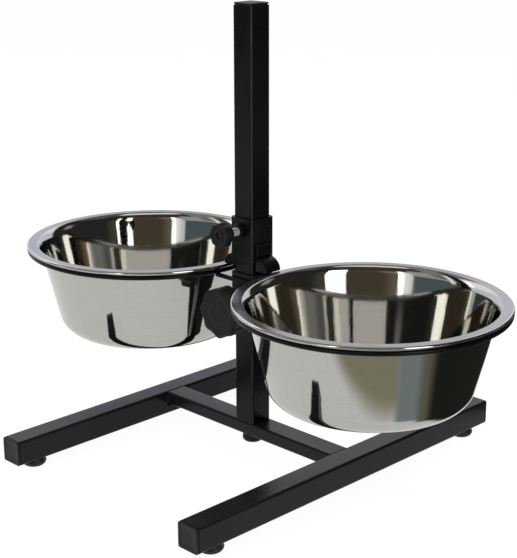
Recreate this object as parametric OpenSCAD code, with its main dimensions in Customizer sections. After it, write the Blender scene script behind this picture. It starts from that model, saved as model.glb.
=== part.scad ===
// Dog feeder stand: two bowls in wire rings on a carrier that slides on a square post.
// Millimetres. +Z is up, +X runs along the cross bar, Y along the feet, and the floor is z = 0.
// The lower sleeve on the post carries the rings. The upper sleeve is a lock: its two fingers
// lie over the rims and keep the bowls down. A knob on each sleeve clamps it to the post.

/* [Base] */
// Length of each foot with its end caps
foot_len = 412; // [340:1:480]
// Distance between the centre lines of the two feet
foot_gap = 257.5; // [230:0.5:290]
// Outside width of the square tube of feet and post
tube_w = 25; // [22:1:28]
// Wall of the square tube
tube_wall = 1.5; // [1.2:0.1:2]
// Outside corner radius of the square tube
tube_r = 2.5; // [2.2:0.1:3]
// Height of the flat tube used as cross bar
bar_h = 13.5; // [12:0.5:18]
// How far the cross bar's top lies below the top of the feet
bar_drop = 0.3; // [0.1:0.1:4]
// Height of the glides under the feet
glide_h = 8.8; // [7:0.1:12]
// Diameter of the glides
glide_d = 24; // [18:1:25]
// Distance of each glide's centre from the end of its foot
glide_in = 27; // [22:1:60]

/* [Post] */
// Height of the post's top above the floor
post_top = 450; // [400:1:520]
// Thickness of the rim of the plastic caps
cap_rim = 2.5; // [2:0.1:4]
// Diameter of the clamp screws and of the bolt that holds the post
screw_d = 8; // [6:1:10]

/* [Sleeves] */
// Wall of the sleeves
sleeve_wall = 2.2; // [1.5:0.1:3]
// Gap between a sleeve and the post on each side
sleeve_gap = 0.3; // [0.2:0.05:0.5]
// Height of the carrier sleeve
carrier_h = 58; // [50:1:64]
// Height of the lock sleeve
lock_h = 42.5; // [40:0.5:56]
// Bare post between the two sleeves
sleeve_space = 13; // [10:0.5:16]
// Height of the upper end of the carrier sleeve above the floor
carrier_top = 189.7; // [180:0.1:200]
// Width of the fingers on the lock sleeve
finger_w = 20; // [14:1:24]
// Thickness of the fingers
finger_t = 2.5; // [2:0.1:3.5]
// How far each finger reaches over the rim of its bowl
finger_reach = 3.5; // [2.5:0.5:6]

/* [Rings] */
// Diameter of the wire of rings and rods
wire_d = 4.5; // [4:0.1:6]
// Depth of the ring wire's centre below the top of the carrier sleeve
ring_drop = 2.5; // [0:0.1:6]
// Distance from the post's axis to the near edge of each bowl's rim
rim_gap = 25.6; // [23:0.1:32]

/* [Knobs] */
// Diameter of the small knob
small_d = 25; // [20:1:30]
// Diameter of the large knob
large_d = 51; // [44:1:56]
// Number of lobes on each knob
lobes = 8; // [6:1:10]

/* [Bowls] */
// Outside diameter of the rolled rim
rim_d = 257; // [240:1:260]
// Depth from the top of the rim to the underside of the base
bowl_depth = 96; // [70:1:108]
// Thickness of the stainless sheet
sheet = 1; // [0.7:0.1:1.2]
// Width of the flat flange inside the rolled edge
flange_w = 7.7; // [5:0.1:11]
// Outside radius of the rolled edge
bead_r = 1.8; // [1.6:0.1:3]
// Lean of the bowl's wall from the vertical, in degrees
wall_lean = 13; // [8:1:18]
// Radius between wall and base
base_r = 26; // [16:1:32]

/* [Hidden] */
$fn = 96;
e = 0.01;
lap = 0.02;
fit = 0.05;
foot_x = foot_gap / 2;
foot_z = glide_h + tube_w / 2;
foot_top = glide_h + tube_w;
tube_len = foot_len - 2 * cap_rim;
tube_in = tube_w - 2 * tube_wall;
bar_top = foot_top - bar_drop;
bar_z = bar_top - bar_h / 2;
bar_bottom = bar_top - bar_h;
bar_len = foot_gap - tube_w;
bar_r = 2;
glide_y = foot_len / 2 - glide_in;
stem_d = 8;
weld_r = 3;
plug_len = 14;
plug_wall = 1.6;
cap_lip = 3.5;
cap_sink = 1.6;
plate_t = 6;
head_h = 5.5;
head_af = screw_d * 1.625;
nut_af = head_af / cos(30);
bolt_cap_d = 21;
bolt_cap_h = 9.8;
sleeve_in = tube_w + 2 * sleeve_gap;
sleeve_w = sleeve_in + 2 * sleeve_wall;
half = sleeve_w / 2;
carrier_bottom = carrier_top - carrier_h;
lock_bottom = carrier_top + sleeve_space;
wire_r = wire_d / 2;
rim_r = rim_d / 2;
bowl_x = rim_gap + rim_r;
bead_in = rim_r - bead_r;
ring_r = bead_in - 0.7;
ring_z = carrier_top - ring_drop;
rest_gap = 0.3;
bead_z = ring_z + sqrt(pow(wire_r + bead_r + rest_gap, 2) - pow(ring_r - bead_in, 2));
rim_top = bead_z + bead_r;
bowl_bottom = rim_top - bowl_depth;
weld_sink = 0.1;
rod_y = half + wire_r - weld_sink;
rod_z = ring_z - wire_d + weld_sink;
rod_x = bowl_x - sqrt(pow(ring_r, 2) - pow(rod_y, 2)) + wire_r + 1;
lock_screw_z = lock_bottom + 0.72 * lock_h;
clamp_screw_z = carrier_bottom + 0.42 * carrier_h;
boss_h = 3;
lock_boss_h = 5.5;
boss_d = screw_d + 6;
screw_tip = tube_w / 2 + 0.3;
lock_hub = 5.5;
lock_grip = 9;
lock_knob_y = half + 16.2;
clamp_hub = 9;
clamp_grip = 18;
clamp_knob_y = half + 6;
finger_top = lock_bottom + 18;
finger_tip_x = rim_gap + finger_reach;
finger_tip_z = rim_top + 0.9;
turn_out = 52;
turn_back = 30;
turn_out_r = 4;
turn_back_r = 10;

// Rectangle with true round corners, centred
module round_rect(w, h, r) {
    square([w - 2 * r, h], center = true);
    square([w, h - 2 * r], center = true);
    for (sx = [-1, 1], sy = [-1, 1])
        translate([sx * (w / 2 - r), sy * (h / 2 - r)])
            circle(r = r);
}

// Section of a rectangular tube
module tube_section(w, h, wall, r) {
    difference() {
        round_rect(w, h, r);
        round_rect(w - 2 * wall, h - 2 * wall, r - wall + 0.3);
    }
}

// Slice of a disc between two angles that are less than 180 degrees apart
module slice(r, a0, a1) {
    intersection() {
        circle(r = r);
        polygon([[0, 0], [3 * r * cos(a0), 3 * r * sin(a0)],
            [3 * r * cos((a0 + a1) / 2), 3 * r * sin((a0 + a1) / 2)],
            [3 * r * cos(a1), 3 * r * sin(a1)]]);
    }
}

// Band of a sheet bent round a corner
module bend(r_out, t, a0, a1) {
    difference() {
        slice(r_out, a0, a1);
        circle(r = r_out - t);
    }
}

// Foot: square tube along Y with a hole for each glide's stem
module foot(side) {
    color([0.05, 0.05, 0.055])
    translate([side * foot_x, 0, foot_z])
        difference() {
            rotate([90, 0, 0])
                linear_extrude(height = tube_len, center = true)
                    tube_section(tube_w, tube_w, tube_wall, tube_r);
            for (s = [-1, 1])
                translate([0, s * glide_y, -tube_w / 2 - 1])
                    cylinder(d = stem_d + 2 * fit, h = tube_wall + 2);
        }
}

// Cross bar: flat tube between the feet, drilled for the post bolt
module cross_bar() {
    color([0.05, 0.05, 0.055])
    translate([0, 0, bar_z])
        difference() {
            rotate([90, 0, 90])
                linear_extrude(height = bar_len, center = true)
                    tube_section(tube_w, bar_h, tube_wall, bar_r);
            translate([0, 0, -bar_h])
                cylinder(d = screw_d + 0.6, h = 2 * bar_h);
        }
}

// Quarter-round weld bead along Z, filling the corner x > 0, y < 0
module weld_bead(len) {
    intersection() {
        cylinder(r = weld_r, h = len, center = true);
        translate([0, -2 * weld_r, -len])
            cube([2 * weld_r, 2 * weld_r, 2 * len]);
    }
}

// Weld beads at both ends of the cross bar: its two sides and its underside
module foot_welds() {
    color([0.05, 0.05, 0.055])
    for (a = [0, 180])
        rotate([0, 0, a]) {
            for (m = [0, 1])
                mirror([0, m, 0])
                    translate([-bar_len / 2, -tube_w / 2, bar_z])
                        weld_bead(bar_h - 2 * bar_r);
            translate([-bar_len / 2, 0, bar_bottom])
                rotate([90, 0, 0])
                    weld_bead(tube_w - 2 * bar_r);
        }
}

// Plug cap for a tube end that faces -Y: rim with a sunk middle, and a hollow plug behind it
module tube_cap() {
    difference() {
        rotate([90, 0, 0])
            linear_extrude(height = cap_rim)
                round_rect(tube_w, tube_w, tube_r);
        translate([0, -cap_rim + cap_sink, 0])
            rotate([90, 0, 0])
                linear_extrude(height = cap_rim)
                    round_rect(tube_w - 2 * cap_lip, tube_w - 2 * cap_lip, 1.5);
    }
    rotate([-90, 0, 0])
        linear_extrude(height = plug_len)
            tube_section(tube_in - 2 * fit, tube_in - 2 * fit, plug_wall, 1.4);
}

// End cap of one foot: side -1 is left, end -1 is the front
module foot_cap(side, end) {
    color([0.08, 0.08, 0.085])
    translate([side * foot_x, end * tube_len / 2, foot_z])
        rotate([0, 0, end > 0 ? 180 : 0])
            tube_cap();
}

// Glide: domed plastic disc whose stem snaps through the tube's lower wall
module glide(side, end) {
    r = glide_d / 2;
    mid = glide_h * 0.55;
    flat = r - mid;
    color([0.06, 0.06, 0.06])
    translate([side * foot_x, end * glide_y, 0])
        rotate_extrude()
            polygon(concat([[0, 0], [flat, 0]],
                [for (a = [-75:15:0]) [flat + mid * cos(a), mid + mid * sin(a)]],
                [[r - 1.5, glide_h], [stem_d / 2, glide_h],
                 [stem_d / 2, glide_h + tube_wall + 0.3], [stem_d / 2 + 0.8, glide_h + tube_wall + 0.6],
                 [stem_d / 2 - 1, glide_h + tube_wall + 7], [0, glide_h + tube_wall + 7]]));
}

// Post: square tube standing on the cross bar
module post() {
    color([0.05, 0.05, 0.055])
    translate([0, 0, bar_top])
        linear_extrude(height = post_top - cap_rim - bar_top)
            tube_section(tube_w, tube_w, tube_wall, tube_r);
}

// Cap in the top of the post
module post_cap() {
    color([0.08, 0.08, 0.085])
    translate([0, 0, post_top - cap_rim])
        rotate([-90, 0, 0])
            tube_cap();
}

// Threaded plate welded into the foot of the post
module post_plate() {
    color([0.3, 0.3, 0.32])
    translate([0, 0, bar_top])
        difference() {
            linear_extrude(height = plate_t)
                round_rect(tube_in - 2 * fit, tube_in - 2 * fit, 1.5);
            translate([0, 0, -1])
                cylinder(d = screw_d + 2 * fit, h = plate_t + 2);
        }
}

// Hexagon bolt that draws the post down on the cross bar
module post_bolt() {
    color([0.6, 0.6, 0.62])
    translate([0, 0, bar_bottom]) {
        cylinder(d = screw_d, h = bar_h + plate_t + 5);
        translate([0, 0, -head_h])
            cylinder(d = nut_af, h = head_h, $fn = 6);
    }
}

// Plastic cap over the bolt head, a little clear of the floor
module bolt_cap() {
    r = bolt_cap_d / 2;
    color([0.06, 0.06, 0.06])
    translate([0, 0, bar_bottom - bolt_cap_h])
        difference() {
            rotate_extrude()
                polygon(concat([[0, 0], [r - 4, 0]],
                    [for (a = [-75:15:0]) [r - 4 + 4 * cos(a), 4 + 4 * sin(a)]],
                    [[r - 1.2, bolt_cap_h], [0, bolt_cap_h]]));
            translate([0, 0, bolt_cap_h - head_h - 0.1])
                cylinder(d = nut_af + 0.2, h = head_h + 1, $fn = 6);
        }
}

// Sleeve on the post, drilled in its front wall for a clamp screw
module sleeve(bottom, h, screw_z) {
    color([0.055, 0.055, 0.06])
    difference() {
        translate([0, 0, bottom])
            linear_extrude(height = h)
                tube_section(sleeve_w, sleeve_w, sleeve_wall, tube_r + 0.5);
        translate([0, -tube_w / 2, screw_z])
            rotate([90, 0, 0])
                cylinder(d = screw_d + 2 * fit, h = sleeve_wall * 3);
    }
}

// Threaded boss welded round the screw hole of a sleeve
module boss(screw_z, len) {
    color([0.055, 0.055, 0.06])
    translate([0, -half, screw_z])
        rotate([90, 0, 0])
            difference() {
                union() {
                    cylinder(d = boss_d, h = len - 0.6);
                    translate([0, 0, len - 0.6])
                        cylinder(d1 = boss_d, d2 = boss_d - 1.2, h = 0.6);
                }
                translate([0, 0, -1])
                    cylinder(d = screw_d + 2 * fit, h = len + 2);
            }
}

// Outline of a finger in X and Z: down the sleeve, out over a bend, then down on the rim
module finger_outline() {
    h = finger_t / 2;
    a = turn_out;
    b = turn_out - turn_back;
    x0 = half + h;
    x1 = finger_tip_x - h * cos(b);
    run = (x1 - x0 - turn_out_r * (1 - cos(a)) - turn_back_r * (cos(b) - cos(a))) / sin(a);
    z0 = finger_tip_z + turn_out_r * sin(a) + run * cos(a) + turn_back_r * (sin(a) - sin(b));
    px = x0 + turn_out_r * (1 - cos(a));
    pz = z0 - turn_out_r * sin(a);
    intersection() {
        union() {
            translate([x0 - h, z0 - lap])
                square([finger_t, finger_top - z0 + lap]);
            translate([x0 + turn_out_r, z0])
                bend(turn_out_r + h, finger_t, 180, 180 + a);
            translate([px, pz])
                rotate(a - 90)
                    translate([-lap, -h])
                        square([run + 2 * lap, finger_t]);
            translate([px + run * sin(a) - turn_back_r * cos(a), pz - run * cos(a) - turn_back_r * sin(a)])
                bend(turn_back_r + h, finger_t, b - 20, a);
        }
        translate([0, finger_tip_z])
            square([finger_tip_x + 1, finger_top]);
    }
}

// Finger: flat strap welded to the lock sleeve that keeps a bowl's rim down
module finger(side) {
    color([0.055, 0.055, 0.06])
    rotate([0, 0, side < 0 ? 180 : 0])
        translate([0, finger_w / 2, 0])
            rotate([90, 0, 0])
                linear_extrude(height = finger_w)
                    finger_outline();
}

// Ring of round wire under the rim of a bowl
module ring(side) {
    color([0.055, 0.055, 0.06])
    translate([side * bowl_x, 0, ring_z])
        rotate_extrude()
            translate([ring_r, 0])
                circle(d = wire_d);
}

// Straight rod under both rings, welded to one face of the carrier sleeve
module rod(end) {
    color([0.055, 0.055, 0.06])
    translate([0, end * rod_y, rod_z])
        rotate([0, 90, 0])
            cylinder(d = wire_d, h = 2 * rod_x, center = true);
}

// Clamp screw from near the post to inside its knob, drawn along +Z from the tip
module clamp_bolt(len) {
    cylinder(d1 = screw_d - 2, d2 = screw_d, h = 1);
    translate([0, 0, 1])
        cylinder(d = screw_d, h = len - 1);
}

// Outline of a lobed grip
module lobed(d) {
    lobe = d * 0.137;
    circle(r = d / 2 - lobe * 0.3);
    for (i = [0:lobes - 1])
        rotate(90 + i * 360 / lobes)
            translate([d / 2 - lobe, 0])
                circle(r = lobe);
}

// Knob drawn along +Z: hub at z = 0, lobed grip above it, ring and hollow in the face
module lobed_knob(d, hub_d, hub_h, grip_h, edge, bore_h) {
    top = hub_h + grip_h;
    difference() {
        union() {
            cylinder(d = hub_d, h = hub_h + e);
            translate([0, 0, hub_h])
                intersection() {
                    linear_extrude(height = grip_h)
                        lobed(d);
                    rotate_extrude()
                        polygon(concat([[0, 0]],
                            [for (a = [-90:30:0]) [d / 2 - edge + edge * cos(a), edge + edge * sin(a)]],
                            [for (a = [0:18:90]) [d / 2 - edge + edge * cos(a), grip_h - edge + edge * sin(a)]],
                            [[0, grip_h]]));
                }
        }
        // hollow round the hub on the back
        translate([0, 0, hub_h - 1])
            difference() {
                cylinder(d = d * 0.72, h = grip_h * 0.4 + 1);
                translate([0, 0, -1])
                    cylinder(d = hub_d, h = grip_h + 2);
            }
        // shallow groove and middle hollow in the face
        translate([0, 0, top - 0.8])
            difference() {
                cylinder(d = d * 0.66, h = 2);
                translate([0, 0, -1])
                    cylinder(d = d * 0.50, h = 4);
            }
        translate([0, 0, top - 1.6])
            cylinder(d = d * 0.28, h = 3);
        translate([0, 0, -1])
            cylinder(d = screw_d, h = bore_h + 1);
    }
}

// Zinc screw of the lock
module lock_screw() {
    color([0.72, 0.73, 0.74])
    translate([0, -screw_tip, lock_screw_z])
        rotate([90, 0, 0])
            clamp_bolt(lock_knob_y - screw_tip + lock_hub + 3);
}

// Small knob of the lock
module lock_knob() {
    color([0.07, 0.07, 0.07])
    translate([0, -lock_knob_y, lock_screw_z])
        rotate([90, 0, 0])
            lobed_knob(small_d, small_d * 0.6, lock_hub, lock_grip, 1.6, lock_hub + 3);
}

// Zinc screw of the carrier
module clamp_screw() {
    color([0.72, 0.73, 0.74])
    translate([0, -screw_tip, clamp_screw_z])
        rotate([90, 0, 0])
            clamp_bolt(clamp_knob_y - screw_tip + clamp_hub + 8);
}

// Large knob of the carrier
module clamp_knob() {
    color([0.07, 0.07, 0.07])
    translate([0, -clamp_knob_y, clamp_screw_z])
        rotate([90, 0, 0])
            lobed_knob(large_d, large_d * 0.44, clamp_hub, clamp_grip, 3, clamp_hub + 8);
}

// Half section of a bowl: base, wall, rounded shoulder, flange and rolled bead
module bowl_section() {
    c = cos(wall_lean);
    s = sin(wall_lean);
    lip_r = 5;
    lip_x = bead_in - flange_w;
    lip_z = rim_top - lip_r;
    // outer face of the wall at the shoulder, then at the base corner
    ax = lip_x - (lip_r - sheet) * c;
    az = lip_z + (lip_r - sheet) * s;
    base_cz = bowl_bottom + base_r;
    bz = base_cz - base_r * s;
    bx = ax - (az - bz) * s / c;
    base_cx = bx - base_r * c;
    translate([0, bowl_bottom])
        square([base_cx + lap, sheet]);
    translate([base_cx, base_cz])
        bend(base_r, sheet, -90, -wall_lean);
    translate([bx, bz])
        rotate(90 - wall_lean)
            translate([-lap, 0])
                square([(az - bz) / c + 2 * lap, sheet]);
    translate([lip_x, lip_z])
        bend(lip_r, sheet, 90, 180 - wall_lean);
    translate([lip_x - lap, rim_top - sheet])
        square([bead_in - lip_x + 2 * lap, sheet]);
    translate([bead_in, bead_z])
        difference() {
            circle(r = bead_r);
            circle(r = bead_r - sheet);
            slice(2 * bead_r, 90, 160);
        }
}

// Stainless bowl that stands in its ring
module bowl(side) {
    color([0.8, 0.8, 0.8])
    translate([side * bowl_x, 0, 0])
        rotate_extrude($fn = 180)
            bowl_section();
}

foot(-1);  // foot_left
foot(1);  // foot_right
cross_bar();
foot_welds();
foot_cap(-1, -1);  // cap_left_front
foot_cap(-1, 1);  // cap_left_back
foot_cap(1, -1);  // cap_right_front
foot_cap(1, 1);  // cap_right_back
glide(-1, -1);  // glide_left_front
glide(-1, 1);  // glide_left_back
glide(1, -1);  // glide_right_front
glide(1, 1);  // glide_right_back
post();
post_cap();
post_plate();
post_bolt();
bolt_cap();
sleeve(carrier_bottom, carrier_h, clamp_screw_z);  // carrier_sleeve
boss(clamp_screw_z, boss_h);  // clamp_boss
ring(-1);  // ring_left
ring(1);  // ring_right
rod(-1);  // rod_front
rod(1);  // rod_back
sleeve(lock_bottom, lock_h, lock_screw_z);  // lock_sleeve
boss(lock_screw_z, lock_boss_h);  // lock_boss
finger(-1);  // finger_left
finger(1);  // finger_right
clamp_screw();
clamp_knob();
lock_screw();
lock_knob();
bowl(-1);  // bowl_left
bowl(1);  // bowl_right
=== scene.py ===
# %% [markdown]
# # A height-adjustable feeder stand with two steel bowls
# The imported CAD model is loaded first and stays as it is: every piece made below is placed in the
# same frame, in metres, with +Z up, the cross bar along X and the feet along Y.

# %% Load the frame
import math

import bpy
import numpy as np
from mathutils import Matrix, Vector


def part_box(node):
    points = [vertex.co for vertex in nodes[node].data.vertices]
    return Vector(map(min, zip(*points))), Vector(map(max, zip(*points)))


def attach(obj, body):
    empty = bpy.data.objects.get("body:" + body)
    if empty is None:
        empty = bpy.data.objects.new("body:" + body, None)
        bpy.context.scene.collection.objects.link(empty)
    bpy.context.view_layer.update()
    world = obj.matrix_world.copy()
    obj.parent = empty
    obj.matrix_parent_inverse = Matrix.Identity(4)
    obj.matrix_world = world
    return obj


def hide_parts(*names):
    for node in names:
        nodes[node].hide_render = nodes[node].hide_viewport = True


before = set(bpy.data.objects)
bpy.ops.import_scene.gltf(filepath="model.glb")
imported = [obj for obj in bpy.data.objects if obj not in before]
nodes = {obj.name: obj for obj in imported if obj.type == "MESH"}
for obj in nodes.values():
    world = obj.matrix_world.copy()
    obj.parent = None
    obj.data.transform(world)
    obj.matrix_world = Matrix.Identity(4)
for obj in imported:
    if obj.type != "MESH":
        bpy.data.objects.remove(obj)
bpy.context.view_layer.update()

# %% [markdown]
# ## The camera
# The photograph looks down on the stand from its front right, between the feet's ends and the cross
# bar's end. The lens is long, so the lines hardly converge. Focal length, place and turn were solved
# from the edges of the tubes and the rims, and the small shift keeps the stand where the picture has it.

# %% Camera
picture_px, axis_px = (517.0, 558.0), (268.89, 277.44)
focal_px, yaw, pitch = 1366.44, math.radians(44.67), math.radians(16.62)
sensor_mm, long_side = 36.0, max(picture_px)
camera_data = bpy.data.cameras.new("camera")
camera = bpy.data.objects.new("camera", camera_data)
bpy.context.scene.collection.objects.link(camera)
camera.location = (0.91852, -0.90588, 0.56778)
camera.rotation_euler = (math.pi / 2 - pitch, 0.0, yaw)
camera_data.sensor_width = sensor_mm
camera_data.lens = focal_px * sensor_mm / long_side
camera_data.shift_x = (picture_px[0] / 2 - axis_px[0]) / long_side
camera_data.shift_y = (axis_px[1] - picture_px[1] / 2) / long_side
camera_data.clip_start = 0.05
bpy.context.scene.camera = camera
print("lens", round(camera_data.lens, 2), "mm")

# %% [markdown]
# ## Ways to make a mesh
# Most of the pieces here are turned, rolled or moulded round an axis. One helper takes a list of
# rings, each ring a list of points, and joins them with quads. Another rounds the corners of a
# profile, because a real pressed or moulded edge is never perfectly sharp, and it is the small round
# that catches the light.


# %% Mesh helpers
def round_corners(points, radius, count=4):
    """Profile with each inner corner replaced by a small arc. A nearly straight corner is left alone."""
    straight, most = math.pi - 0.02, 0.49
    made = [points[0]]
    for i in range(1, len(points) - 1):
        a, b, c = (np.array(points[k], float) for k in (i - 1, i, i + 1))
        u, v = a - b, c - b
        lu, lv = np.linalg.norm(u), np.linalg.norm(v)
        u, v = u / lu, v / lv
        turn = math.acos(max(-1.0, min(1.0, float(u @ v))))
        if turn > straight:
            made.append(tuple(b))
            continue
        back = min(radius / math.tan(turn / 2), most * lu, most * lv)
        r = back * math.tan(turn / 2)
        middle = (u + v) / np.linalg.norm(u + v)
        centre = b + middle * (r / math.sin(turn / 2))
        p, q = b + u * back - centre, b + v * back - centre
        start, sweep = math.atan2(p[1], p[0]), math.atan2(p[0] * q[1] - p[1] * q[0], float(p @ q))
        for k in range(count + 1):
            t = start + sweep * k / count
            made.append((centre[0] + r * math.cos(t), centre[1] + r * math.sin(t)))
    made.append(points[-1])
    return made


def arc(cx, cz, r, start, end, step=5.0):
    """Points of an arc, angles in degrees."""
    n = max(1, math.ceil(abs(end - start) / step))
    turns = [math.radians(start + (end - start) * k / n) for k in range(n + 1)]
    return [(cx + r * math.cos(t), cz + r * math.sin(t)) for t in turns]


def piece_from_rings(name, rings, sharp=35.0):
    """Object from rings of points. Each ring runs once round, and both ends are closed by a fan."""
    n, last = len(rings[0]), len(rings) - 1
    points = [tuple(p) for ring in rings for p in ring]
    faces = []
    for j in range(last):
        a, b = j * n, (j + 1) * n
        faces += [(a + i, a + (i + 1) % n, b + (i + 1) % n, b + i) for i in range(n)]
    for j in (0, last):
        middle = len(points)
        points.append(tuple(np.mean(np.array(rings[j]), axis=0)))
        for i in range(n):
            here, after = j * n + i, j * n + (i + 1) % n
            faces.append((after, here, middle) if j == 0 else (here, after, middle))
    mesh = bpy.data.meshes.new(name)
    mesh.from_pydata(points, [], faces)
    mesh.update()
    mesh.shade_smooth()
    if sharp:
        mesh.set_sharp_from_angle(angle=math.radians(sharp))
    piece = bpy.data.objects.new(name, mesh)
    bpy.context.scene.collection.objects.link(piece)
    return piece


def turned_upright(name, profile, count):
    """Smooth object turned about the Z axis from a profile of (radius, height)."""
    turns = [2 * math.pi * i / count for i in range(count)]
    rings = [[(r * math.cos(t), r * math.sin(t), h) for t in turns] for r, h in profile]
    return piece_from_rings(name, rings, sharp=None)


def facing_front(y, z):
    """Places (radius, turn, height) about an axis at height z that runs to the front, along -Y, from y."""
    return lambda r, t, h: (r * math.cos(t), y - h, z + r * math.sin(t))


def dress(piece, material, body, slot, *replaced):
    """Gives a piece its material and its body, and hides the CAD nodes that it stands for. slot is not used.
    """
    piece.data.materials.clear()
    piece.data.materials.append(material)
    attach(piece, body)
    if replaced:
        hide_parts(*replaced)
    print(piece.name, "on", body, "faces", len(piece.data.polygons))


# %% [markdown]
# ## Surface effects as node groups
# Several finishes share an effect: every tube has the fine orange peel of powder coat, every plastic
# piece a moulded grain, and edges turn a little paler where hands and cartons rub them. Each effect is
# one node group with its own inputs, and puts out only heights, masks and roughness.


# %% Node helpers
def new_group(name, inputs, outputs):
    """Empty node group with its named sockets, and its two end nodes."""
    group = bpy.data.node_groups.new(name, "ShaderNodeTree")
    for label, kind, value in inputs:
        socket = group.interface.new_socket(label, in_out="INPUT", socket_type=kind)
        socket.default_value = value
    for label, kind in outputs:
        group.interface.new_socket(label, in_out="OUTPUT", socket_type=kind)
    return group, group.nodes.new("NodeGroupInput"), group.nodes.new("NodeGroupOutput")


def add(tree, kind, **values):
    """New node. A key that starts with in_ sets that input, by number or name. Any other sets a property."""
    node = tree.nodes.new(kind)
    for key, value in values.items():
        if key.startswith("in_"):
            label = key[3:]
            node.inputs[int(label) if label.isdigit() else label.replace("_", " ")].default_value = value
        else:
            setattr(node, key, value)
    return node


def math_node(tree, operation, a, b=None, clamp=False):
    """Math node whose inputs are sockets or numbers. Returns its output."""
    node = add(tree, "ShaderNodeMath", operation=operation, use_clamp=clamp)
    for i, value in enumerate((a, b)):
        if value is None:
            continue
        if isinstance(value, (int, float)):
            node.inputs[i].default_value = value
        else:
            tree.links.new(value, node.inputs[i])
    return node.outputs[0]


def noise(tree, vector, scale, detail, rough):
    """Noise from 0 to 1 at a place. The scale is a number or a socket."""
    node = add(tree, "ShaderNodeTexNoise", in_Detail=detail, in_Roughness=rough)
    tree.links.new(vector, node.inputs["Vector"])
    if isinstance(scale, (int, float)):
        node.inputs["Scale"].default_value = scale
    else:
        tree.links.new(scale, node.inputs["Scale"])
    return node.outputs["Fac"]


def span(tree, value, low, high, to_low=0.0, to_high=1.0):
    """Value stretched from low..high to to_low..to_high. Ends may be sockets."""
    node = add(tree, "ShaderNodeMapRange")
    ends = {"Value": value, "From Min": low, "From Max": high, "To Min": to_low, "To Max": to_high}
    for label, end in ends.items():
        if isinstance(end, (int, float)):
            node.inputs[label].default_value = end
        else:
            tree.links.new(end, node.inputs[label])
    return node.outputs["Result"]


def blend_colour(tree, mask, a, b):
    """Colour a where the mask is 0 and b where it is 1."""
    node = add(tree, "ShaderNodeMix", data_type="RGBA")
    tree.links.new(mask, node.inputs["Factor"])
    for socket, value in ((node.inputs[6], a), (node.inputs[7], b)):
        if isinstance(value, (tuple, list)):
            socket.default_value = (*value, 1.0) if len(value) == 3 else value
        else:
            tree.links.new(value, socket)
    return node.outputs[2]


# %% Effect: grain of a coating or of a moulding
coat_grain, gin, gout = new_group("coat_grain",
    [("Grain Size", "NodeSocketFloat", 900.0), ("Patch Size", "NodeSocketFloat", 22.0),
     ("Low Roughness", "NodeSocketFloat", 0.3), ("High Roughness", "NodeSocketFloat", 0.4)],
    [("Height", "NodeSocketFloat"), ("Roughness", "NodeSocketFloat"), ("Patches", "NodeSocketFloat")])
place = add(coat_grain, "ShaderNodeTexCoord").outputs["Object"]
fine = noise(coat_grain, place, gin.outputs["Grain Size"], detail=2.0, rough=0.55)
wide = noise(coat_grain, place, gin.outputs["Patch Size"], detail=3.0, rough=0.6)
patches = span(coat_grain, wide, 0.32, 0.68)
rough = span(coat_grain, patches, 0.0, 1.0, gin.outputs["Low Roughness"], gin.outputs["High Roughness"])
coat_grain.links.new(fine, gout.inputs["Height"])
coat_grain.links.new(rough, gout.inputs["Roughness"])
coat_grain.links.new(patches, gout.inputs["Patches"])
print("group", coat_grain.name)

# %% Effect: rubbed edges
edge_rub, gin, gout = new_group("edge_rub",
    [("Width", "NodeSocketFloat", 0.0012), ("Break Up", "NodeSocketFloat", 160.0)],
    [("Mask", "NodeSocketFloat")])
bevel = add(edge_rub, "ShaderNodeBevel", samples=4)
edge_rub.links.new(gin.outputs["Width"], bevel.inputs["Radius"])
flat = add(edge_rub, "ShaderNodeNewGeometry").outputs["Normal"]
both = add(edge_rub, "ShaderNodeVectorMath", operation="DOT_PRODUCT")
edge_rub.links.new(bevel.outputs[0], both.inputs[0])
edge_rub.links.new(flat, both.inputs[1])
flat_match, edge_match = 0.99, 0.80
edge = span(edge_rub, both.outputs["Value"], flat_match, edge_match)
place = add(edge_rub, "ShaderNodeTexCoord").outputs["Object"]
spots = noise(edge_rub, place, gin.outputs["Break Up"], detail=3.0, rough=0.65)
broken = span(edge_rub, spots, 0.35, 0.65)
edge_rub.links.new(math_node(edge_rub, "MULTIPLY", edge, broken, clamp=True), gout.inputs["Mask"])
print("group", edge_rub.name)

# %% Effect: painted highlight, a thin line of light on the rounded upright corners of a tube
painted_corner_highlight, gin, gout = new_group("painted_corner_highlight",
    [("Break Up", "NodeSocketFloat", 60.0)], [("Mask", "NodeSocketFloat")])
where = add(painted_corner_highlight, "ShaderNodeTexCoord")
parts = add(painted_corner_highlight, "ShaderNodeSeparateXYZ")
painted_corner_highlight.links.new(where.outputs["Normal"], parts.inputs[0])
product = math_node(painted_corner_highlight, "MULTIPLY", parts.outputs[0], parts.outputs[1])
slant = math_node(painted_corner_highlight, "MULTIPLY", math_node(painted_corner_highlight, "ABSOLUTE", product), 2.0, clamp=True)
sharpness = 12.0
narrow = math_node(painted_corner_highlight, "POWER", slant, sharpness)
spots = noise(painted_corner_highlight, where.outputs["Object"], gin.outputs["Break Up"], detail=3.0, rough=0.6)
broken = span(painted_corner_highlight, spots, 0.3, 0.7, 0.55, 1.0)
painted_corner_highlight.links.new(math_node(painted_corner_highlight, "MULTIPLY", narrow, broken, clamp=True), gout.inputs["Mask"])
print("group", painted_corner_highlight.name)

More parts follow.
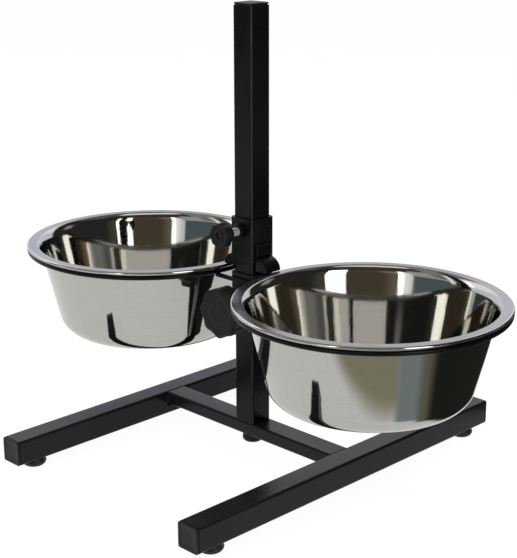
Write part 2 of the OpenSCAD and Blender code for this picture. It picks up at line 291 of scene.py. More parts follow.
# %% Effect: lines left by spinning and polishing
spun_lines, gin, gout = new_group("spun_lines",
    [("Fineness", "NodeSocketFloat", 1400.0), ("Low Roughness", "NodeSocketFloat", 0.05),
     ("High Roughness", "NodeSocketFloat", 0.12)],
    [("Height", "NodeSocketFloat"), ("Roughness", "NodeSocketFloat"), ("Lines", "NodeSocketFloat"),
     ("Streaks", "NodeSocketFloat")])
place = add(spun_lines, "ShaderNodeTexCoord").outputs["Object"]
parts = add(spun_lines, "ShaderNodeSeparateXYZ")
spun_lines.links.new(place, parts.inputs[0])
x, y, z = parts.outputs
radius = math_node(spun_lines, "SQRT", math_node(spun_lines, "ADD",
    math_node(spun_lines, "MULTIPLY", x, x), math_node(spun_lines, "MULTIPLY", y, y)))
turn = math_node(spun_lines, "ARCTAN2", y, x)
line_drift, smudge_scale, streak_stretch, streak_count = 0.0022, 14.0, 1.5, 24.0
ring_place = add(spun_lines, "ShaderNodeCombineXYZ")
spun_lines.links.new(radius, ring_place.inputs[0])
spun_lines.links.new(z, ring_place.inputs[1])
spun_lines.links.new(math_node(spun_lines, "MULTIPLY", turn, line_drift), ring_place.inputs[2])
lines = noise(spun_lines, ring_place.outputs[0], gin.outputs["Fineness"], detail=3.0, rough=0.6)
clouds = noise(spun_lines, place, smudge_scale, detail=4.0, rough=0.6)
smudge = span(spun_lines, clouds, 0.4, 0.75)
lines_share, smudge_share = 0.55, 0.45
uneven = math_node(spun_lines, "ADD", math_node(spun_lines, "MULTIPLY", lines, lines_share),
    math_node(spun_lines, "MULTIPLY", smudge, smudge_share))
rough = span(spun_lines, uneven, 0.25, 0.75, gin.outputs["Low Roughness"], gin.outputs["High Roughness"])
spun_lines.links.new(lines, gout.inputs["Height"])
spun_lines.links.new(rough, gout.inputs["Roughness"])
spun_lines.links.new(lines, gout.inputs["Lines"])
round_place = add(spun_lines, "ShaderNodeCombineXYZ")
for i, part in enumerate((x, y)):
    spun_lines.links.new(math_node(spun_lines, "DIVIDE", part, radius), round_place.inputs[i])
spun_lines.links.new(math_node(spun_lines, "MULTIPLY", z, streak_stretch), round_place.inputs[2])
streaks = noise(spun_lines, round_place.outputs[0], streak_count, detail=4.0, rough=0.6)
spun_lines.links.new(streaks, gout.inputs["Streaks"])
print("group", spun_lines.name)

# %% [markdown]
# ## The finishes
# The tubes, sleeves, rings and rods wear black powder coat: nearly black, half glossy, so their tops
# mirror the pale room while their sides stay dark. Knobs and caps are black plastic with a moulded
# grain. The clamp screws are zinc plated. The bowls are polished stainless steel: bright on the walls,
# and left with fine turned lines on the flat of the rim, whose base colour is darker and cooler, painted
# shade with a painted bluish reflection.


# %% Material maker
def finish(name, **constants):
    """Material with a Principled shader. Numbers that hold all over are set on its own sockets."""
    material = bpy.data.materials.new(name)
    material.use_nodes = True
    shader = material.node_tree.nodes["Principled BSDF"]
    for label, value in constants.items():
        shader.inputs[label.replace("_", " ")].default_value = value
    return material, material.node_tree, shader


def use(tree, group, **values):
    """Node group placed in a material, with its own values."""
    node = add(tree, "ShaderNodeGroup", node_tree=group)
    for label, value in values.items():
        node.inputs[label.replace("_", " ")].default_value = value
    return node


def bump(tree, shader, height, strength, distance):
    """Bump node in front of the shader's normal."""
    node = add(tree, "ShaderNodeBump", in_Strength=strength, in_Distance=distance)
    tree.links.new(height, node.inputs["Height"])
    tree.links.new(node.outputs["Normal"], shader.inputs["Normal"])


cool_tint, peel_depth = (0.92, 0.95, 1.0, 1.0), 0.0003


def coated(name, dark, pale, worn, rough, grain, strength, specular, width=0.0012, corner=None):
    """Black finish with a grain, patches of gloss and rubbed edges. corner is the colour of a painted
    highlight along the upright corners.
    """
    material, tree, shader = finish(name, Specular_IOR_Level=specular, Specular_Tint=cool_tint)
    skin = use(tree, coat_grain, Grain_Size=grain, Low_Roughness=rough[0], High_Roughness=rough[1])
    rub = use(tree, edge_rub, Width=width)
    base = blend_colour(tree, skin.outputs["Patches"], dark, pale)
    base = blend_colour(tree, rub.outputs["Mask"], base, worn)
    if corner:
        base = blend_colour(tree, use(tree, painted_corner_highlight).outputs["Mask"], base, corner)
    tree.links.new(base, shader.inputs["Base Color"])
    tree.links.new(skin.outputs["Roughness"], shader.inputs["Roughness"])
    bump(tree, shader, skin.outputs["Height"], strength, peel_depth)
    return material


# %% Black finishes
# The third colour here is a painted highlight for the upright corners of the post and sleeves.
worn_tube, worn_foot, corner_highlight_colour = (0.009, 0.009, 0.0095), (0.010, 0.010, 0.0105), (0.040, 0.040, 0.042)
powder_coat = coated("black_powder_coat", (0.0018, 0.0018, 0.002), (0.003, 0.003, 0.0033), worn_tube,
    rough=(0.22, 0.31), grain=1100.0, strength=0.10, specular=0.15)
upright_coat = coated("black_upright_coat", (0.002, 0.002, 0.0022), (0.0033, 0.0033, 0.0036), worn_tube,
    rough=(0.22, 0.31), grain=1100.0, strength=0.10, specular=0.15, corner=corner_highlight_colour)
sleeve_coat = coated("black_sleeve_coat", (0.0032, 0.0032, 0.0034), (0.0046, 0.0046, 0.0049), worn_foot,
    rough=(0.24, 0.34), grain=1000.0, strength=0.12, specular=0.15, corner=corner_highlight_colour)
# The feet and the cross bar wear the same powder coat as the other tubes. The lighter base colour of this
# copy is painted light, standing in for the light that the low tubes catch.
feet_and_bar_coat_painted_lighter = coated("black_feet_and_bar_coat_painted_lighter", (0.0062, 0.0062, 0.0063), (0.0080, 0.0080, 0.0082), worn_foot,
    rough=(0.22, 0.31), grain=1100.0, strength=0.10, specular=0.17)
knob_plastic = coated("black_knob_plastic", (0.006, 0.006, 0.0063), (0.008, 0.008, 0.0083),
    (0.012, 0.012, 0.012), rough=(0.42, 0.52), grain=2400.0, strength=0.20, specular=0.20, width=0.0008)
cap_plastic = coated("black_cap_plastic", (0.0034, 0.0034, 0.0034), (0.0048, 0.0048, 0.0047),
    (0.010, 0.010, 0.010), rough=(0.42, 0.55), grain=2000.0, strength=0.25, specular=0.29, width=0.0006)
glide_plastic = coated("black_glide_plastic", (0.005, 0.005, 0.005), (0.008, 0.008, 0.008),
    (0.014, 0.014, 0.014), rough=(0.38, 0.50), grain=1600.0, strength=0.20, specular=0.34, width=0.0008)
print("painted finishes", [m.name for m in (powder_coat, upright_coat, sleeve_coat, feet_and_bar_coat_painted_lighter)])
print("plastic finishes", [m.name for m in (knob_plastic, cap_plastic, glide_plastic)])

# %% Steel finishes
quarter_turn, line_depth, streak_cover, streak_shade = 0.25, 0.0001, 0.10, 0.5


def steel(name, plain, lined, fineness, rough, strength, wave=0.0, brushed=0.0):
    """Bright metal with turned lines, faint smudges and, where it was drawn, uneven streaks down the wall."""
    material, tree, shader = finish(name, Metallic=1.0, Anisotropic=brushed,
        Anisotropic_Rotation=quarter_turn)
    skin = use(tree, spun_lines, Fineness=fineness, Low_Roughness=rough[0], High_Roughness=rough[1])
    streak = span(tree, skin.outputs["Lines"], 0.3, 0.7)
    base = blend_colour(tree, streak, plain, lined)
    if wave:
        drawn = span(tree, skin.outputs["Streaks"], 0.55, 0.75, 0.0, streak_cover)
        base = blend_colour(tree, drawn, base, tuple(streak_shade * v for v in plain))
    tree.links.new(base, shader.inputs["Base Color"])
    tree.links.new(skin.outputs["Roughness"], shader.inputs["Roughness"])
    bump(tree, shader, skin.outputs["Height"], strength, line_depth)
    if wave:
        fine = shader.inputs["Normal"].links[0].from_socket
        bump(tree, shader, skin.outputs["Streaks"], wave, line_depth)
        tree.links.new(fine, shader.inputs["Normal"].links[0].from_node.inputs["Normal"])
    return material


wall_steel = steel("polished_steel", (0.465, 0.460, 0.435), (0.505, 0.500, 0.475), fineness=1500.0,
    rough=(0.035, 0.085), strength=0.005, wave=0.3)
# The flat of the rim is the bowl's own steel with real turned lines. Its darker, bluish base colour is
# painted shade with a painted reflection.
rim_steel_painted_dim = steel("brushed_rim_steel", (0.252, 0.263, 0.277), (0.345, 0.355, 0.372), fineness=1500.0,
    rough=(0.22, 0.32), strength=0.05, brushed=0.85)
zinc = steel("zinc_plate", (0.55, 0.56, 0.57), (0.66, 0.67, 0.68), fineness=700.0,
    rough=(0.26, 0.38), strength=0.05)
print("steel finishes", wall_steel.name, rim_steel_painted_dim.name, zinc.name)

# %% [markdown]
# ## The bowls
# A steel feeding bowl is pressed from one sheet. From the middle outwards: a flat base, a wide round
# into the wall, the leaning wall, a touch more open towards the top, a shoulder that flares and then
# turns tightly, a flat flange and an edge rolled into a bead. It could be a modelled surface with a
# thickness modifier, but a turned profile with both faces gives exact curves, and polished steel shows
# every facet. Sizes follow the CAD bowl.

# %% Bowl profile
low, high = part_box("bowl_right")
bowl_x = (low.x + high.x) / 2
rim_r, rim_z, bowl_z = (high.x - low.x) / 2, high.z, low.z
# thickness of the sheet, radius of the bead, width of the flange, radius of the base round
sheet, bead, flange, corner = 0.001, 0.0018, 0.0074, 0.023
# radii of the shoulder's tight and wide arcs, and the turn in degrees where they meet
tight, wide, change = 0.003, 0.016, 45.0
# lean of the wall at its top and its foot, and where the roll of the bead starts, in degrees
lean_top, lean_low, roll_start = 13.7, 13.3, -206.0
bead_x, bead_z = rim_r - bead, rim_z - bead
lip_x, lip_z = bead_x - flange, rim_z - tight
flare_x = lip_x + (wide - tight) * math.sin(math.radians(change))
flare_z = lip_z - (wide - tight) * math.cos(math.radians(change))
corner_z = bowl_z + corner


def between(a, b, n):
    """Points between a and b, without either end."""
    return [(a[0] + (b[0] - a[0]) * k / n, a[1] + (b[1] - a[1]) * k / n) for k in range(1, n)]


def wall_points(n=36):
    """Points down the inner face, from the shoulder to the base round, each with its lean."""
    lean = math.radians(lean_top)
    r, h = flare_x - wide * math.cos(lean), flare_z + wide * math.sin(lean)
    drop = (h - corner_z + (corner - sheet) * math.sin(math.radians(lean_low))) / n
    made = [(r, h, lean)]
    for k in range(n):
        r -= drop * math.tan(math.radians(lean_top + (lean_low - lean_top) * (k + 0.5) / n))
        h -= drop
        made.append((r, h, math.radians(lean_top + (lean_low - lean_top) * (k + 1) / n)))
    return made


wall = wall_points()
wall_in = [(r, h) for r, h, lean in wall]
wall_out = [(r + sheet * math.cos(lean), h - sheet * math.sin(lean)) for r, h, lean in wall]
corner_x = wall_in[-1][0] - (corner - sheet) * math.cos(wall[-1][2])
outer_round = arc(corner_x, corner_z, corner, -90, -lean_low, step=3)
outer_lip = arc(flare_x, flare_z, wide - sheet, 180 - lean_top, 90 + change, step=2)
outer_lip += arc(lip_x, lip_z, tight - sheet, 90 + change, 90, step=8)[1:]
rolled = arc(bead_x, bead_z, bead, roll_start, 90, step=8)
lip = arc(lip_x, lip_z, tight, 90, 90 + change, step=4)
lip += arc(flare_x, flare_z, wide, 90 + change, 180 - lean_top, step=1.5)[1:]
inner_round = arc(corner_x, corner_z, corner - sheet, -lean_low, -90, step=3)
pin_r = 0.001
base_out, base_in = (pin_r, bowl_z), (pin_r, bowl_z + sheet)
profile = [base_out] + between(base_out, outer_round[0], 10) + outer_round
profile += wall_out[-2:0:-1] + outer_lip + between(outer_lip[-1], rolled[0], 4) + rolled
flat_start = len(profile)
profile += between(rolled[-1], lip[0], 6)
flat_end = len(profile)
profile += lip + wall_in[1:-1] + inner_round + between(inner_round[-1], base_in, 10) + [base_in]
print("bowl profile", len(profile), "points")
print("rim", round(rim_r * 2000, 1), "mm, depth", round((rim_z - bowl_z) * 1000, 1), "mm")

# %% [markdown]
# In the photo the bowls hang with their fronts a little low. The shape stays level, as it is in CAD, but
# polished steel shows such a tilt, so the shading normals are turned by it about the line across the
# picture. The brushed finish covers the flat of the rim and the first rows of the shoulder.

# %% Both bowls
tilt, round_count, shoulder_rows = math.radians(1.3), 240, 7
hang = Matrix.Rotation(tilt, 3, Vector((math.cos(yaw), math.sin(yaw), 0.0)))
brushed_rows = range(flat_start - 1, flat_end + shoulder_rows)


def make_bowl(side):
    """Bowl with both finishes and with normals worked out from the profile."""
    bowl = turned_upright("steel_bowl_" + side, profile, round_count)
    bowl.location = (-bowl_x if side == "left" else bowl_x, 0.0, 0.0)
    bowl.data.materials.append(wall_steel)
    bowl.data.materials.append(rim_steel_painted_dim)
    for k, face in enumerate(bowl.data.polygons):
        face.material_index = 1 if k // round_count in brushed_rows else 0
    along = np.gradient(np.array(profile), axis=0)
    normal = np.stack([along[:, 1], -along[:, 0]], axis=1)
    normal /= np.linalg.norm(normal, axis=1)[:, None]
    turns = 2 * np.pi * np.arange(round_count) / round_count
    each = [(n[0] * math.cos(t), n[0] * math.sin(t), n[1]) for n in normal for t in turns]
    each += [(0.0, 0.0, -1.0), (0.0, 0.0, 1.0)]
    bowl.data.normals_split_custom_set_from_vertices([hang @ Vector(n) for n in each])
    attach(bowl, "bowl_" + side)
    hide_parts("bowl_" + side)
    print(bowl.name, "faces", len(bowl.data.polygons))


for side in ("left", "right"):
    make_bowl(side)

# %% [markdown]
# ## The knobs
# Both sleeves are clamped by a lobed knob: a large one for the carrier that takes the weight, a small
# one for the lock. Each is a moulding with eight soft lobes, a hub towards the post, a hollow back to
# save plastic, and a ring and a dimple in its face. A turned profile whose radius swells and shrinks
# round the turn gives the lobes and keeps all edges round.


# %% Knob maker
lobes, lobe_share, valley_share, soft_share, swell_share = 8, 0.137, 0.3, 0.012, 0.02
hollow_share, hollow_rise, back_share, face_share = 0.36, 0.4, 0.39, 0.365
ring_share, ring_sunk, dimple_share, slope_share = (0.33, 0.25), 0.45, (0.14, 0.125), 0.005
bore_r, centre_r, back_round, face_round = 0.0041, 0.0005, 0.0005, 0.0004


def lobed_radius(d, t):
    """Outline of the grip at turn t: a disc joined to round lobes by a soft valley."""
    lobe = d * lobe_share
    reach = d / 2 - lobe
    step = 2 * math.pi / lobes
    off = (t - math.pi / 2 + step / 2) % step - step / 2
    side = lobe * lobe - (reach * math.sin(off)) ** 2
    bump_r = reach * math.cos(off) + math.sqrt(side) if side > 0 else 0.0
    soft = d * soft_share
    joined = math.exp((bump_r - d / 2) / soft) + math.exp(-lobe * valley_share / soft)
    return d / 2 + soft * (math.log(joined) - swell_share)


def make_knob(name, d, hub_d, hub_h, grip_h, edge, sunk, y, z, count=192):
    """Knob along -Y from its hub at y. sunk is the dimple's depth.

    Rows are (radius, height, lobed). A lobed row's radius counts from the outline of the grip.
    """
    top, hollow_end, hollow = hub_h + grip_h, hub_h + hollow_rise * grip_h, d * hollow_share
    back = round_corners([(bore_r, 0.0), (hub_d / 2, 0.0), (hub_d / 2, hollow_end), (hollow, hollow_end),
        (hollow, hub_h), (d * back_share, hub_h)], back_round)
    rows = [(r, h, False) for r, h in back]
    rows += [(r, h, True) for r, h in arc(-edge, hub_h + edge, edge, -90, 0, step=10)]
    rows += [(r, h, True) for r, h in arc(-edge, top - edge, edge, 0, 90, step=10)]
    ring_z, dimple_z, slope = top - ring_sunk * sunk, top - sunk, d * slope_share
    ring_out, ring_in = (d * share for share in ring_share)
    dimple_out, dimple_in = (d * share for share in dimple_share)
    face = round_corners([(d * face_share, top), (ring_out, top), (ring_out - slope, ring_z),
        (ring_in, ring_z), (ring_in - slope, top), (dimple_out, top), (dimple_in, dimple_z),
        (centre_r, dimple_z)], face_round)
    rows += [(r, h, False) for r, h in face]
    put = facing_front(y, z)
    turns = [2 * math.pi * i / count for i in range(count)]
    rings = [[put(lobed_radius(d, t) + r if lobed else r, t, h) for t in turns] for r, h, lobed in rows]
    return piece_from_rings(name, rings, sharp=50.0)


# %% Both knobs
for name, node, body, hub_share, hub_h, edge, sunk in (
        ("large_knob", "clamp_knob", "clamp_handle", 0.44, 0.009, 0.003, 0.0007),
        ("small_knob", "lock_knob", "lock_handle", 0.60, 0.0055, 0.0016, 0.0018)):
    low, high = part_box(node)
    d = high.z - low.z
    knob = make_knob(name, d, d * hub_share, hub_h, high.y - low.y - hub_h, edge, sunk, high.y,
        (low.z + high.z) / 2)
    dress(knob, knob_plastic, body, "black_plastic", node)
    print(name, "diameter", round(d * 1000, 1), "mm")

# %% [markdown]
# ## The clamp screws
# A zinc screw runs from each knob through a boss on its sleeve to the post. The thread shows beside the
# small knob. It could be a bump texture, but at this size a real helix throws the right glints: each
# ring of the turned screw is pushed in and out by where it stands on the helix.


# %% Thread maker
def make_screw(name, node, body, pitch_m=0.00125, depth=0.00055, count=48, rows_per_turn=8):
    """Threaded screw along -Y in the place of a CAD screw, with a short taper at its start."""
    low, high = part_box(node)
    r, z, length = (high.x - low.x) / 2, (low.z + high.z) / 2, high.y - low.y
    put = facing_front(high.y, z)
    rings = []
    row = pitch_m / rows_per_turn
    taper_start, taper_h, flank, root_flat = 0.7, 0.0012, 2.6, 0.2
    for k in range(int(length / row) + 1):
        h = min(length, k * row)
        taper = min(1.0, taper_start + h / taper_h * (1 - taper_start))
        ring = []
        for i in range(count):
            t = 2 * math.pi * i / count
            wave = (h / pitch_m + t / (2 * math.pi)) % 1.0
            rise = min(1.0, max(0.0, abs(wave - 0.5) * flank - root_flat))
            ring.append(put((r - depth * (1 - rise)) * taper, t, h))
        rings.append(ring)
    dress(piece_from_rings(name, rings, sharp=60.0), zinc, body, "zinc_steel", node)


make_screw("large_clamp_screw", "clamp_screw", "clamp_handle")
make_screw("small_clamp_screw", "lock_screw", "lock_handle")

# %% [markdown]
# ## The tube caps
# Each open tube end is closed by a moulded plug: a hollow part that grips inside the tube, and a plate
# with soft edges that stands a hair off the tube, so that a thin dark seam shows all round. The middle of
# the plate is sunk very slightly. Rings of one rounded square, swollen and shrunk on the way out, make
# the whole plug in one skin.


# %% Plug maker
def rounded_square(half, r, n=6):
    """Points round a square with round corners, anticlockwise."""
    c = half - r
    centres = ((c, c, 0), (-c, c, 90), (-c, -c, 180), (c, -c, 270))
    return [point for x, y, start in centres for point in arc(x, y, r, start, start + 90, 90 / n)]


def make_plug(name, node, half, thick, put, seam=0.0004, soft=0.0006):
    """Plug whose plate is as thick as the CAD one. put(u, v, d) places a point d out from the tube's end."""
    plate, plate_r, neck, neck_r = half - seam / 2, 0.0022, half - 0.0012, 0.0015
    grip, grip_r, grip_depth = 0.0107, 0.0014, 0.014
    rows = [(grip, grip_r, -grip_depth), (grip, grip_r, 0.0), (neck, neck_r, 0.0), (neck, neck_r, seam)]
    rows += [(h, plate_r, d) for h, d in arc(plate - soft, seam + soft, soft, -90, 0, step=18)]
    rows += [(h, plate_r, d) for h, d in arc(plate - soft, thick - soft, soft, 0, 90, step=18)]
    sunk, middle, middle_r = 0.0003, 0.0010, 0.0003
    dish = ((0.0033, 0.0017, 0.0), (0.0036, 0.0015, 0.4), (0.0039, 0.0013, 0.8), (0.0043, 0.0012, 1.0))
    rows += [(half - inset, r, thick - share * sunk) for inset, r, share in dish]
    rows.append((middle, middle_r, thick - sunk))
    rings = [[put(u, v, d) for u, v in rounded_square(h, r)] for h, r, d in rows]
    dress(piece_from_rings(name, rings, sharp=40.0), cap_plastic, "base", "black_plastic", node)


# %% All plugs
tube_low, tube_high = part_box("foot_left")
half = (tube_high.x - tube_low.x) / 2
for side in ("left", "right"):
    for end, sign in (("front", -1), ("back", 1)):
        low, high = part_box("cap_" + side + "_" + end)
        x, z, tip = (low.x + high.x) / 2, (low.z + high.z) / 2, low.y if sign < 0 else high.y
        thick = abs(tip) - tube_high.y
        make_plug("plug_" + side + "_" + end, "cap_" + side + "_" + end, half, thick,
            lambda u, v, d, x=x, z=z, sign=sign: (x - sign * u, sign * (tube_high.y + d), z + v))
post_end, cap_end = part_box("post")[1].z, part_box("post_cap")[1].z
make_plug("plug_post", "post_cap", half, cap_end - post_end, lambda u, v, d: (u, v, post_end + d),
    seam=0.0008)

# %% [markdown]
# ## The fingers of the lock
# Two fingers on the lock sleeve keep the rims down. Each has a flat root against the sleeve, a small step,
# and a thick rounded ear that bows outwards over the rim. Its outline could be pushed along Y in one go, but
# a notched side makes a poor single face. So the finger is stacked from the rim upwards: one rounded
# rectangle for each height, as deep as the outline is there.


# %% Finger maker
def make_finger(side, soft=0.0009):
    """Finger stacked in the box of its CAD node. The outline is (distance from the post's axis, height)."""
    sign = -1 if side == "left" else 1
    low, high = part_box("finger_" + side)
    root, tip = (low.x, high.x) if sign > 0 else (-high.x, -low.x)
    foot, top, wide_half = low.z, high.z, (high.y - low.y) / 2
    root_t, step_z = 0.0025, foot + 0.0150
    end, pull, start = (tip, foot + 0.0008), (tip - 0.0010, foot + 0.0105), (root + 0.0007, foot + 0.0130)
    bow = [tuple((1 - k) ** 2 * a + 2 * k * (1 - k) * b + k * k * c for a, b, c in zip(end, pull, start))
           for k in (i / 16 for i in range(17))]
    outline = [(tip - 0.0009, foot), (tip - 0.0003, foot + 0.0002)] + bow
    outline += [(root + root_t - 0.0003, step_z - 0.0004), (root + root_t, step_z),
                (root + root_t, top - 0.0005), (root + root_t - 0.0005, top)]
    rings = []
    for x, z in outline:
        r = min(soft, 0.9 * (x - root))
        front, back = arc(x - r, r - wide_half, r, -90, 0, 15), arc(x - r, wide_half - r, r, 0, 90, 15)
        ring = [(root, -wide_half)] + front + back + [(root, wide_half)]
        rings.append([(sign * u, sign * v, z) for u, v in ring])
    finger = piece_from_rings("lock_finger_" + side, rings)
    dress(finger, sleeve_coat, "lock", "black_paint", "finger_" + side)


for side in ("left", "right"):
    make_finger(side)

# %% [markdown]
# ## The CAD pieces that stay
# Tubes, sleeves, bosses, glides, rings and rods already have the right shape in the CAD model, so they
# only get their finish: the one of their slot in the record or, for tubes and sleeves, one of their own.

# %% Finish of the CAD nodes
slot_finish = {"black_paint": powder_coat, "black_plastic": cap_plastic, "glide_plastic": glide_plastic,
    "zinc_steel": zinc, "stainless": wall_steel}
# The finish of the feet and the cross bar is the powder coat with painted light in its lighter base colour.
own_finish = {"post": upright_coat, "carrier_sleeve": sleeve_coat, "lock_sleeve": sleeve_coat,
    "foot_left": feet_and_bar_coat_painted_lighter, "foot_right": feet_and_bar_coat_painted_lighter, "cross_bar": feet_and_bar_coat_painted_lighter}
for name, node in nodes.items():
    label = node.data.materials[0].name.split(".")[0]
    node.data.materials[0] = own_finish.get(name, slot_finish[label])
print("dressed", len(nodes), "CAD nodes")

# %% [markdown]
# ## Floor and light
# The photograph has a pure white ground. Here a wide pale floor meets a white world, and both look
# white to the camera and to shiny metal through Light Path, while the world lights the stand at a lower
# level and the floor keeps a soft shadow.

# %% World
scene = bpy.context.scene
scene.view_settings.view_transform = "Standard"


def seen(tree):
    """1 for camera, glossy and transmission rays."""
    path = add(tree, "ShaderNodeLightPath")
    shiny = math_node(tree, "MAXIMUM", path.outputs["Is Glossy Ray"], path.outputs["Is Transmission Ray"])
    return math_node(tree, "MAXIMUM", path.outputs["Is Camera Ray"], shiny)


white, cool_white, lighting_level, seen_level = (1.0, 1.0, 1.0), (0.90, 0.95, 1.04), 0.45, 1.0
world = bpy.data.worlds.new("pale_room")
scene.world = world
world.use_nodes = True
tree = world.node_tree
room_light = tree.nodes["Background"]
shiny = add(tree, "ShaderNodeLightPath").outputs["Is Glossy Ray"]
tree.links.new(blend_colour(tree, shiny, white, cool_white), room_light.inputs["Color"])
tree.links.new(span(tree, seen(tree), 0.0, 1.0, lighting_level, seen_level), room_light.inputs["Strength"])
print("world", world.name)

# %% Floor
reach, mirror_glow, camera_glow, glow_share = 8.0, 0.89, 1.03, 0.93
floor_mesh = bpy.data.meshes.new("floor")
floor_corners = [(reach * x, reach * y, 0.0) for x, y in ((-1, -1), (1, -1), (1, 1), (-1, 1))]
floor_mesh.from_pydata(floor_corners, [], [(0, 1, 2, 3)])
floor = bpy.data.objects.new("floor", floor_mesh)
scene.collection.objects.link(floor)
paper, tree, shader = finish("floor_paper", Base_Color=(0.86, 0.86, 0.86, 1.0), Roughness=0.9,
    Specular_IOR_Level=0.1)
glow = add(tree, "ShaderNodeEmission", in_Color=(*white, 1.0))
direct = add(tree, "ShaderNodeLightPath").outputs["Is Camera Ray"]
tree.links.new(span(tree, direct, 0.0, 1.0, mirror_glow, camera_glow), glow.inputs["Strength"])
mix = add(tree, "ShaderNodeMixShader")
tree.links.new(math_node(tree, "MULTIPLY", seen(tree), glow_share), mix.inputs[0])
tree.links.new(shader.outputs[0], mix.inputs[1])
tree.links.new(glow.outputs[0], mix.inputs[2])
tree.links.new(mix.outputs[0], tree.nodes["Material Output"].inputs["Surface"])
floor_mesh.materials.append(paper)
print("floor", floor.name, "reach", reach, "m")


# %% Lamps
def lamp(name, place, towards, size, power):
    """Soft rectangular lamp that mirrors don't show."""
    data = bpy.data.lights.new(name, "AREA")
    data.shape, data.size, data.size_y, data.energy = "RECTANGLE", size[0], size[1], power
    made = bpy.data.objects.new(name, data)
    scene.collection.objects.link(made)
    made.location = place
    made.rotation_euler = (Vector(towards) - Vector(place)).to_track_quat("-Z", "Y").to_euler()
    made.visible_camera = False
    made.visible_glossy = False
    print(name, power, "W")


lamp("key_lamp", place=(-0.6, -1.9, 1.5), towards=(0.0, 0.0, 0.15), size=(1.0, 1.2), power=26.0)
lamp("fill_lamp", place=(1.9, -0.7, 1.3), towards=(0.0, 0.0, 0.15), size=(1.0, 1.2), power=16.0)
lamp("top_lamp", place=(0.0, 0.2, 2.4), towards=(0.0, 0.0, 0.0), size=(2.2, 2.2), power=40.0)

# %% [markdown]
# ## What the steel mirrors
# A polished bowl has no colour of its own to speak of: it shows the room. In the photograph the room
# behind the camera is dark, with a soft box on each side of the camera, a dark side to the right, and
# cards on the ground at the front right. Cards and boxes stand here in the same directions. They are
# seen only in reflections, so they neither light nor shade anything.


# %% Soft cards
def card_material(name, colour, strength):
    """Glow that fades out towards the card's edges, where its soft value falls to 0."""
    material = bpy.data.materials.new(name)
    material.use_nodes = True
    tree = material.node_tree
    tree.nodes.remove(tree.nodes["Principled BSDF"])
    light = add(tree, "ShaderNodeEmission", in_Color=(*colour, 1.0), in_Strength=strength)
    clear = add(tree, "ShaderNodeBsdfTransparent")
    soft = add(tree, "ShaderNodeAttribute", attribute_name="soft")
    mix = add(tree, "ShaderNodeMixShader")
    tree.links.new(soft.outputs["Fac"], mix.inputs[0])
    tree.links.new(clear.outputs[0], mix.inputs[1])
    tree.links.new(light.outputs[0], mix.inputs[2])
    tree.links.new(mix.outputs[0], tree.nodes["Material Output"].inputs["Surface"])
    return material


def fade(value, start, end, before, after):
    """0 outside start..end, 1 inside, with a smooth way up over before and down over after."""
    up = 1.0 if before <= 0 else min(1.0, max(0.0, (value - start) / before))
    down = 1.0 if after <= 0 else min(1.0, max(0.0, (end - value) / after))
    return (3 - 2 * up) * up * up * (3 - 2 * down) * down * down


def soft_card(name, colour, strength, across, along, place, softness):
    """Card on a grid. place gives a point from both coordinates, softness its cover from 0 to 1."""
    points = [place(u, v) for u in across for v in along]
    m = len(along)
    faces = [(i * m + j, (i + 1) * m + j, (i + 1) * m + j + 1, i * m + j + 1)
             for i in range(len(across) - 1) for j in range(m - 1)]
    mesh = bpy.data.meshes.new(name)
    mesh.from_pydata(points, [], faces)
    cover = mesh.attributes.new("soft", "FLOAT", "POINT")
    cover.data.foreach_set("value", [softness(u, v) for u in across for v in along])
    card = bpy.data.objects.new(name, mesh)
    scene.collection.objects.link(card)
    mesh.materials.append(card_material(name, colour, strength))
    card.visible_camera = card.visible_diffuse = card.visible_shadow = False
    card.visible_transmission = card.visible_volume_scatter = False
    print(name, len(faces), "faces")


camera_turn = math.degrees(math.atan2(camera.location.y, camera.location.x))


def degree_steps(start, end):
    """Places about a degree apart, nine at least."""
    return np.linspace(start, end, max(9, int(end - start) + 1))


def wall_card(name, colour, strength, bearing, height, sides, ends, away):
    """Upright card bent round the stand, between two bearings and two heights.

    Bearings are degrees to the camera's right and heights degrees up. sides and ends give how many
    degrees the card takes to fade in from the left, right, bottom and top. away is its distance at
    both bearings, in metres.
    """
    def place(u, v):
        turn, off = math.radians(camera_turn + u), np.interp(u, bearing, away)
        return (off * math.cos(turn), off * math.sin(turn), off * math.tan(math.radians(v)))
    soft_card(name, colour, strength, degree_steps(*bearing), degree_steps(*height), place,
        lambda u, v: fade(u, *bearing, *sides) * fade(v, *height, *ends))


def floor_card(name, colour, strength, bearing, near, far, sides, inner, height):
    """Flat card on the ground about the right bowl, between two bearings.

    near gives its inner edge for each bearing, and inner is how far it fades in from there.
    """
    line = math.degrees(math.atan2(camera.location.y, camera.location.x - bowl_x))

    def place(u, v):
        turn, r = math.radians(line + u), near(u) + (far - near(u)) * v
        return (bowl_x + r * math.cos(turn), r * math.sin(turn), height)
    steps_out = np.linspace(0.0, 1.0, 41) ** 2
    soft_card(name, colour, strength, degree_steps(*bearing), steps_out, place,
        lambda u, v: fade(u, *bearing, *sides) * fade((far - near(u)) * v, 0.0, far, inner, 0.0))


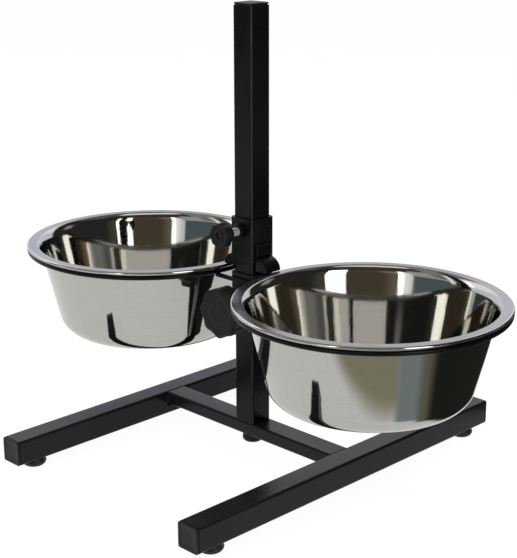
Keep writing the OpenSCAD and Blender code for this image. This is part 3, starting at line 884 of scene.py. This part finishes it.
# %% Ceiling and walls in the mirror
wall_card("ceiling", (0.15, 0.15, 0.145), 1.0, bearing=(-180, 180), height=(38, 89),
    sides=(0, 0), ends=(2, 0), away=(2.20, 2.20))
wall_card("ceiling_left", (0.34, 0.33, 0.31), 1.0, bearing=(-140, -40), height=(43, 89),
    sides=(12, 12), ends=(4, 20), away=(2.18, 2.18))
wall_card("front_top_dark", (0.075, 0.060, 0.045), 1.0, bearing=(-62, 70), height=(33, 64),
    sides=(6, 6), ends=(0, 2), away=(2.12, 2.12))
wall_card("front_top_light", (1.0, 0.96, 0.92), 1.3, bearing=(-58, 58), height=(62, 75),
    sides=(8, 8), ends=(2, 3), away=(2.10, 2.10))
wall_card("white_wall_behind", (1.0, 0.955, 0.945), 1.38, bearing=(132, 258), height=(22, 48),
    sides=(14, 3), ends=(6, 5), away=(2.15, 2.15))
wall_card("left_room", (0.12, 0.15, 0.165), 1.0, bearing=(-104, -40), height=(-6, 30),
    sides=(2, 2), ends=(0, 10), away=(2.10, 2.10))
wall_card("left_high_wall", (0.24, 0.25, 0.25), 1.0, bearing=(-104, -46), height=(26, 50),
    sides=(4, 6), ends=(4, 4), away=(2.09, 2.09))
wall_card("left_wall_top", (0.50, 0.51, 0.49), 1.0, bearing=(-74, -36), height=(18, 50),
    sides=(16, 4), ends=(6, 6), away=(2.08, 2.08))
wall_card("left_dark_end", (0.10, 0.095, 0.085), 1.0, bearing=(-106, -88), height=(-6, 50),
    sides=(2, 3), ends=(0, 4), away=(2.06, 2.06))
wall_card("left_window", (1.0, 0.97, 0.92), 1.30, bearing=(-91, -81), height=(8, 50),
    sides=(3, 3), ends=(14, 4), away=(2.05, 2.05))
wall_card("far_left_window", (1.0, 1.0, 0.9), 2.1, bearing=(-119, -105), height=(22, 43),
    sides=(3, 2), ends=(4, 3), away=(2.05, 2.05))
wall_card("room_behind_camera", (0.092, 0.074, 0.050), 1.0, bearing=(-30, 46), height=(-6, 35),
    sides=(1, 1), ends=(0, 3), away=(2.04, 2.04))
wall_card("left_box_glow", (0.19, 0.17, 0.125), 1.0, bearing=(-30, -10), height=(-6, 35),
    sides=(1, 15), ends=(0, 3), away=(2.03, 2.03))
wall_card("warm_corner", (0.40, 0.28, 0.18), 1.0, bearing=(-34, -4), height=(23, 38),
    sides=(1, 16), ends=(8, 3), away=(2.02, 2.02))
wall_card("room_right", (0.032, 0.032, 0.031), 1.0, bearing=(40, 141), height=(-10, 54),
    sides=(1, 4), ends=(0, 4), away=(2.00, 2.00))
wall_card("right_box_glow", (0.080, 0.076, 0.062), 1.0, bearing=(40, 58), height=(-6, 40),
    sides=(1, 12), ends=(0, 6), away=(1.99, 1.99))
wall_card("right_gap", (0.40, 0.40, 0.38), 1.0, bearing=(104, 122), height=(22, 40),
    sides=(6, 5), ends=(4, 4), away=(1.98, 1.98))

# %% Soft boxes in the mirror
wall_card("left_box_skirt", (1.0, 1.0, 0.97), 1.3, bearing=(-42, -27), height=(3, 41),
    sides=(8, 1), ends=(2, 3), away=(1.22, 1.90))
wall_card("left_soft_box", (1.0, 0.99, 0.94), 3.2, bearing=(-33, -25.5), height=(3, 41),
    sides=(4, 1.5), ends=(2, 3), away=(1.60, 1.89))
wall_card("right_soft_box", (1.0, 0.99, 0.93), 3.6, bearing=(22.3, 42.3), height=(3, 43),
    sides=(1.5, 1.5), ends=(2, 3), away=(1.96, 1.96))


# %% Cards on the ground in the mirror
def bowed(nearest, bearing=0.0, before=0.0, after=0.0):
    """Inner edge that comes nearest at one bearing and may draw back before and after it."""
    return lambda u: nearest + (before if u < bearing else after) * (u - bearing) ** 2


floor_card("olive_floor", (0.345, 0.330, 0.235), 1.0, bearing=(-42, 29),
    near=bowed(0.172, 15, 0.000035, 0.000035), far=0.7, sides=(22, 6), inner=0.045, height=0.0010)
floor_card("blue_floor", (0.27, 0.32, 0.33), 1.0, bearing=(20, 56),
    near=bowed(0.160), far=0.7, sides=(7, 8), inner=0.030, height=0.0012)
floor_card("brown_floor", (0.18, 0.165, 0.125), 1.0, bearing=(40, 70),
    near=bowed(0.132), far=0.7, sides=(10, 8), inner=0.025, height=0.0014)
floor_card("black_floor", (0.020, 0.020, 0.018), 1.0, bearing=(50, 160),
    near=bowed(0.100, 95, 0.00003, 0.00008), far=1.4, sides=(12, 10), inner=0.030, height=0.0016)
